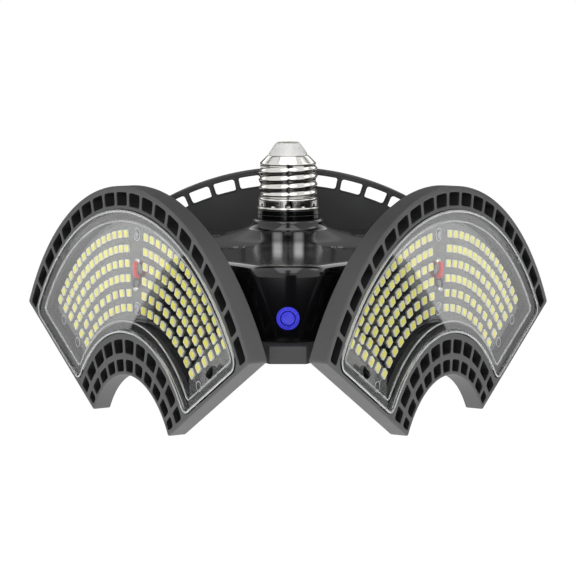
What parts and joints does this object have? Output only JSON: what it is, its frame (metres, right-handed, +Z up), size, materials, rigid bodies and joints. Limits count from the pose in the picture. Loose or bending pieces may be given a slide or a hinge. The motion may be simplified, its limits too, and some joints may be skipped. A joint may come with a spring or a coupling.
{
  "type": "deformable garage light",
  "caption": "Screw-base LED garage light with a three-sided hub and folding LED panels that turn from flat to upright.",
  "frame": {"origin": "on the screw axis, halfway up the plain skirt of the screw shell", "axes": "+Z up along the screw axis towards the centre contact, -Y towards the corner with the push button, +X to the right of it"},
  "size_m": [0.2446, 0.2125, 0.1191],
  "materials": {
    "nickel_shell": "nickel-plated, bright",
    "brass_contact": "plain",
    "white_insulator": "moulded white, satin",
    "gloss_black": "moulded, high gloss",
    "dark_grey_plate": "moulded, satin",
    "dark_grey_frame": "die cast, powder coated dark grey, fine satin",
    "black_board": "solder resist, satin",
    "led_phosphor": "phosphor in a white body",
    "clear_lens": "clear moulded polycarbonate",
    "black_rubber": "soft, matt",
    "zinc_steel": "zinc plated",
    "black_steel": "black oxide",
    "blue_button": "translucent blue, satin",
    "green_board": "glass-fibre board, solder resist",
    "black_component": "moulded epoxy",
    "copper_coil": "enamelled copper winding",
    "fuse_body": "ceramic tube",
    "green_terminal": "moulded",
    "brown_lead": "soft insulation",
    "blue_lead": "soft insulation",
    "red_lead": "soft insulation",
    "black_lead": "soft insulation",
    "solder": "bright solder"
  },
  "bodies": {
    "hub": {"centre_contact": "brass_contact", "base_insulator": "white_insulator", "screw_shell": "nickel_shell", "neck_collar": "gloss_black", "hub_cover": "gloss_black", "cover_screws": "black_steel", "button_bezel": "blue_button", "tact_switch": "black_component", "switch_board": "green_board", "base_plate": "dark_grey_plate", "hinge_brackets": "zinc_steel", "bracket_screws": "zinc_steel", "hinge_pins": "zinc_steel", "pin_clips": "black_steel", "driver_board": "green_board", "driver_board_screws": "zinc_steel", "driver_capacitors": "black_component", "choke_coil": "copper_coil", "bridge_rectifier": "black_component", "driver_chips": "black_component", "glass_fuse": "fuse_body", "terminal_block": "green_terminal", "live_lead": "brown_lead", "neutral_lead": "blue_lead"},
    "button": {"push_button": "blue_button"},
    "left_panel": {"left_frame": "dark_grey_frame", "left_led_board": "black_board", "left_leds": "led_phosphor", "left_lens": "clear_lens", "left_gasket": "black_rubber", "left_board_screws": "zinc_steel", "left_red_lead": "red_lead", "left_black_lead": "black_lead", "left_solder_joints": "solder", "left_board_capacitor": "black_component", "left_hinge_washers": "zinc_steel"},
    "right_panel": {"right_frame": "dark_grey_frame", "right_led_board": "black_board", "right_leds": "led_phosphor", "right_lens": "clear_lens", "right_gasket": "black_rubber", "right_board_screws": "zinc_steel", "right_red_lead": "red_lead", "right_black_lead": "black_lead", "right_solder_joints": "solder", "right_board_capacitor": "black_component", "right_hinge_washers": "zinc_steel"},
    "back_panel": {"back_frame": "dark_grey_frame", "back_led_board": "black_board", "back_leds": "led_phosphor", "back_lens": "clear_lens", "back_gasket": "black_rubber", "back_board_screws": "zinc_steel", "back_red_lead": "red_lead", "back_black_lead": "black_lead", "back_solder_joints": "solder", "back_board_capacitor": "black_component", "back_hinge_washers": "zinc_steel"}
  },
  "joints": [
    {"name": "left_fold", "type": "hinge", "parent": "hub", "child": "left_panel", "pos_m": [-0.05603, -0.03235, -0.0497], "axis": [0.5, -0.866, 0], "range_deg": [0, 90]},
    {"name": "right_fold", "type": "hinge", "parent": "hub", "child": "right_panel", "pos_m": [0.05603, -0.03235, -0.0497], "axis": [0.5, 0.866, 0], "range_deg": [0, 90]},
    {"name": "back_fold", "type": "hinge", "parent": "hub", "child": "back_panel", "pos_m": [0, 0.0647, -0.0497], "axis": [-1, 0, 0], "range_deg": [0, 90]},
    {"name": "button_press", "type": "slide", "parent": "hub", "child": "button", "axis": [0, 1, 0], "range_m": [0, 0.0012], "stiffness_N_per_m": 400, "springref_m": -0.001}
  ]
}
